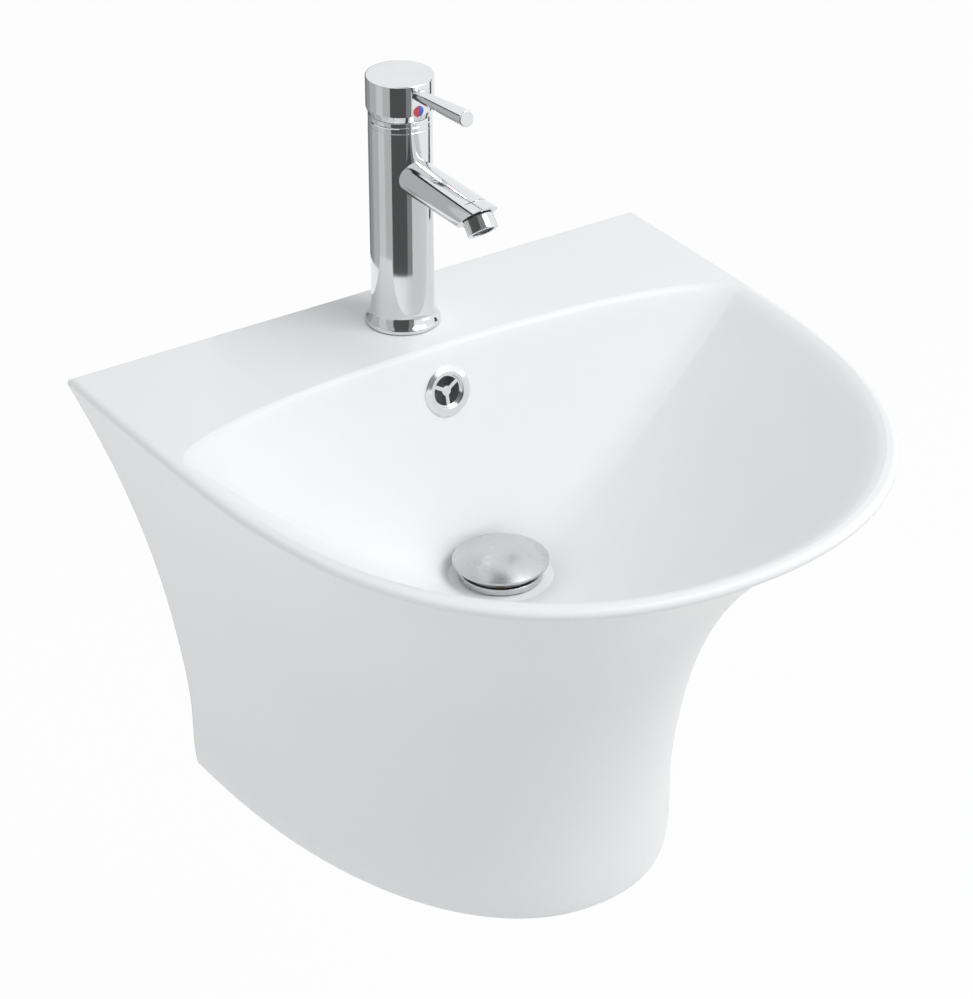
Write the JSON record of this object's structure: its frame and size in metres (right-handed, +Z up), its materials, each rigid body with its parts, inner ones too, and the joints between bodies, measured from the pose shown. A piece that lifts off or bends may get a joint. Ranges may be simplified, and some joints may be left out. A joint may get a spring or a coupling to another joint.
{
  "type": "wall-hung basin",
  "caption": "Wall-hung ceramic basin with a D-shaped rim and integral shroud, pin-lever mixer tap, push-open waste, overflow and bottle trap.",
  "frame": {"origin": "midway between the two wall-bolt holes, on the wall plane", "axes": "+X to the right seen from the front, +Y into the wall, +Z up"},
  "size_m": [0.46, 0.4497, 0.5297],
  "materials": {
    "ceramic": "white gloss glaze",
    "chrome": "mirror-bright plating",
    "brass": "machined",
    "rubber": "matt black",
    "white_plastic": "satin moulded",
    "dark_plastic": "satin moulded",
    "steel": "bright",
    "technical_ceramic": "lapped",
    "indicator": "gloss, one half red and one half blue"
  },
  "bodies": {
    "basin": {"basin_body": "ceramic", "overflow_bezel": "chrome", "overflow_grille": "chrome", "waste_body": "chrome", "tap_body": "chrome", "tap_spout": "chrome", "aerator_housing": "chrome", "tap_collar": "chrome", "waste_back_nut": "brass", "cartridge_nut": "brass", "tap_stud_nut": "brass", "waste_flange_seal": "rubber", "waste_under_seal": "rubber", "trap_cup_seal": "rubber", "trap_inlet_seal": "rubber", "trap_outlet_seal": "rubber", "tap_base_seal": "rubber", "aerator_washer": "rubber", "cartridge_seals": "rubber", "tap_horseshoe_gasket": "rubber", "waste_slip_washer": "white_plastic", "popup_cartridge": "white_plastic", "trap_body": "white_plastic", "trap_dip_tube": "white_plastic", "trap_cup": "white_plastic", "trap_inlet_nut": "white_plastic", "trap_outlet_pipe": "white_plastic", "trap_outlet_nut": "white_plastic", "cartridge_housing": "white_plastic", "aerator_screen": "dark_plastic", "popup_spring": "steel", "tap_horseshoe_washer": "steel", "tap_stud": "steel", "cartridge_fixed_disc": "technical_ceramic"},
    "carrier": {"cartridge_carrier": "dark_plastic", "cartridge_pivot_pin": "steel"},
    "lever": {"handle_cap": "chrome", "lever_pin": "chrome", "temperature_indicator": "indicator", "handle_grub_screw": "steel", "lever_stem": "steel"},
    "disc": {"cartridge_moving_disc": "technical_ceramic"},
    "popup": {"waste_cap": "chrome", "waste_cap_seal": "rubber", "popup_plunger": "brass"}
  },
  "joints": [
    {"name": "lever_turn", "type": "hinge", "parent": "basin", "child": "carrier", "pos_m": [0, -0.052, 0.255], "axis": [0, 0, 1], "range_deg": [-45, 45]},
    {"name": "lever_lift", "type": "hinge", "parent": "carrier", "child": "lever", "pos_m": [0, -0.052, 0.255], "axis": [-1, 0, 0], "range_deg": [0, 20]},
    {"name": "disc_slide", "type": "slide", "parent": "carrier", "child": "disc", "axis": [0, -1, 0], "range_m": [0, 0.0054]},
    {"name": "popup_press", "type": "slide", "parent": "basin", "child": "popup", "axis": [0, 0, 1], "range_m": [-0.0057, 0], "deforming": ["popup_spring"]}
  ],
  "couplings": [
    {"joint": "disc_slide", "follows": "lever_lift", "m_per_rad": 0.01519}
  ]
}
